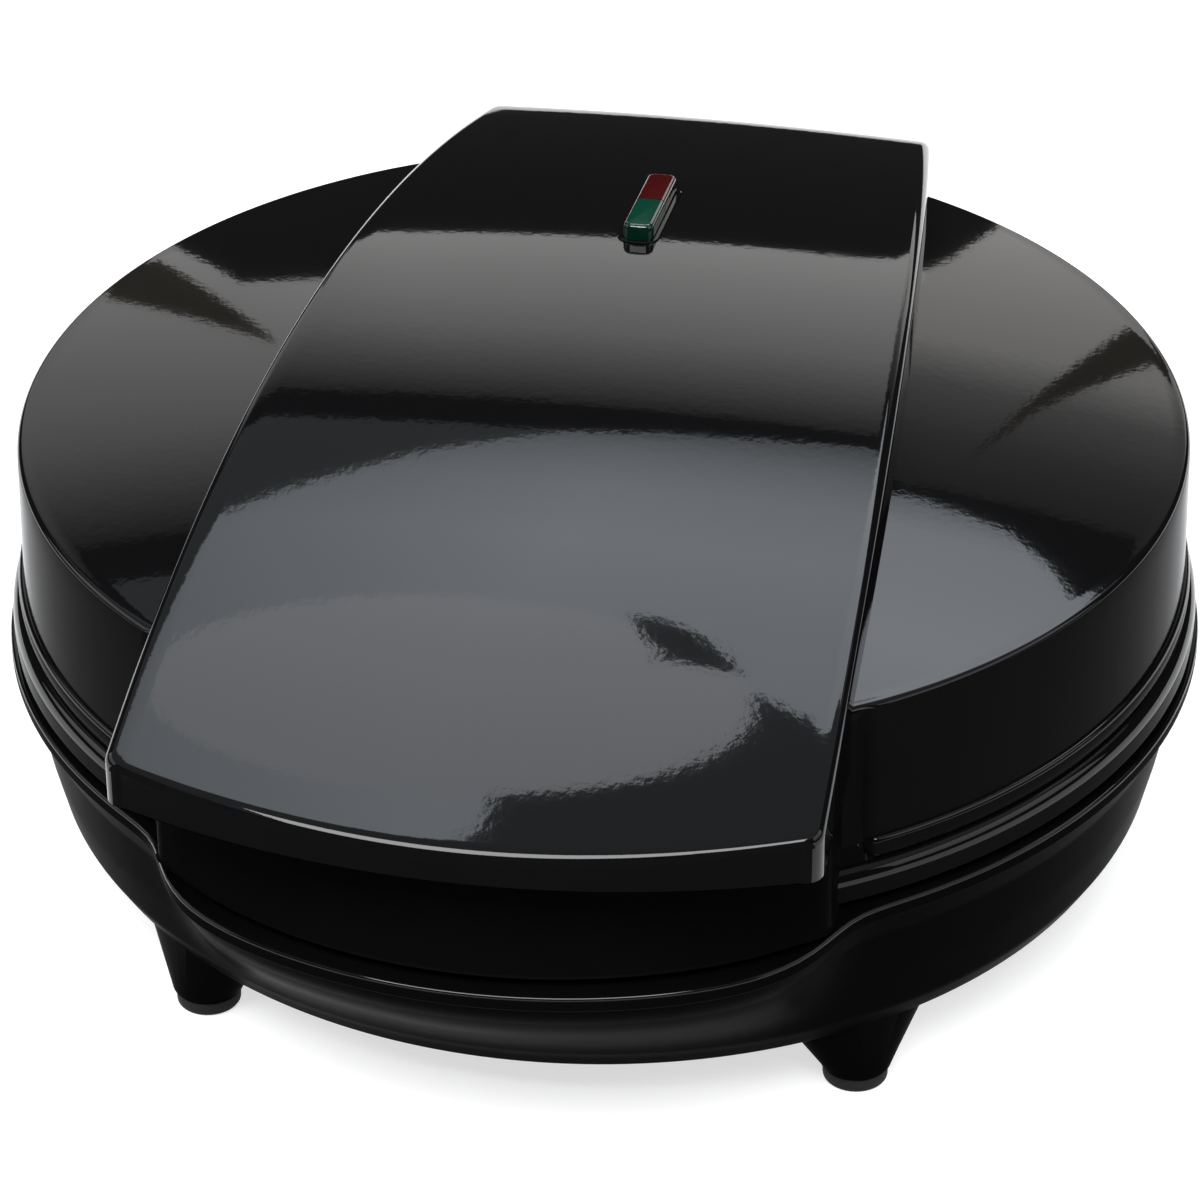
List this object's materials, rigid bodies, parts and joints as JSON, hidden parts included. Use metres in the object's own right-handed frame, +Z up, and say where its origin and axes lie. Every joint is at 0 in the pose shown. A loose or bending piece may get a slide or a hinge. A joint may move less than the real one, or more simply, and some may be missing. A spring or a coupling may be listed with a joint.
{
  "type": "electric muffin maker",
  "caption": "Round countertop cooker with a hinged lid, a wide arched handle band, cupped non-stick baking plates above and below, an indicator lens and short feet.",
  "frame": {"origin": "middle of the bounding box's bottom face, on the surface that the feet stand on", "axes": "+Z up, -Y to the front where the lid is lifted, +Y to the hinge and the cord inlet, +X to the right as seen from the front"},
  "size_m": [0.25, 0.2906, 0.1252],
  "materials": {
    "gloss_black": "glossy black moulded plastic with a faint orange peel",
    "satin_black": "satin black moulded plastic",
    "non_stick": "cast aluminium with a dark non-stick coating",
    "sheet_steel": "plain rolled sheet",
    "heater_steel": "heat-darkened steel sheath",
    "screw_steel": "zinc-plated steel",
    "rubber": "matt black rubber",
    "ceramic": "unglazed cream ceramic",
    "red_lens": "clear red moulded lens",
    "green_lens": "clear green moulded lens",
    "lamp_glass": "clear lamp envelope"
  },
  "bodies": {
    "base": {"base_housing": "satin_black", "bottom_cover": "satin_black", "foot_pad_1": "rubber", "foot_pad_2": "rubber", "foot_pad_3": "rubber", "foot_pad_4": "rubber", "cover_screw_1": "screw_steel", "cover_screw_2": "screw_steel", "cover_screw_3": "screw_steel", "cover_screw_4": "screw_steel", "lower_baking_plate": "non_stick", "lower_plate_screw_1": "screw_steel", "lower_plate_screw_2": "screw_steel", "lower_plate_screw_3": "screw_steel", "lower_heating_element": "heater_steel", "lower_heat_shield": "sheet_steel", "lower_shield_screw": "screw_steel", "thermostat": "ceramic", "thermal_fuse": "ceramic", "terminal_block": "ceramic", "cord_inlet": "rubber", "hinge_pin_right": "screw_steel", "hinge_pin_left": "screw_steel"},
    "lid": {"lid_shell": "gloss_black", "handle_band": "gloss_black", "front_grip": "satin_black", "upper_baking_plate": "non_stick", "upper_plate_screw_1": "screw_steel", "upper_plate_screw_2": "screw_steel", "upper_plate_screw_3": "screw_steel", "upper_heating_element": "heater_steel", "upper_heat_shield": "sheet_steel", "upper_shield_screw": "screw_steel", "band_screw_1": "screw_steel", "band_screw_2": "screw_steel", "band_screw_3": "screw_steel", "band_screw_4": "screw_steel", "grip_screw_1": "screw_steel", "grip_screw_2": "screw_steel", "indicator_bezel": "gloss_black", "lens_red": "red_lens", "lens_green": "green_lens", "lamp_tray": "ceramic", "lamp_red": "lamp_glass", "lamp_green": "lamp_glass"}
  },
  "joints": [
    {"name": "lid_hinge", "type": "hinge", "parent": "base", "child": "lid", "pos_m": [0, 0.1373, 0.05775], "axis": [-1, 0, 0], "range_deg": [0, 100]}
  ]
}
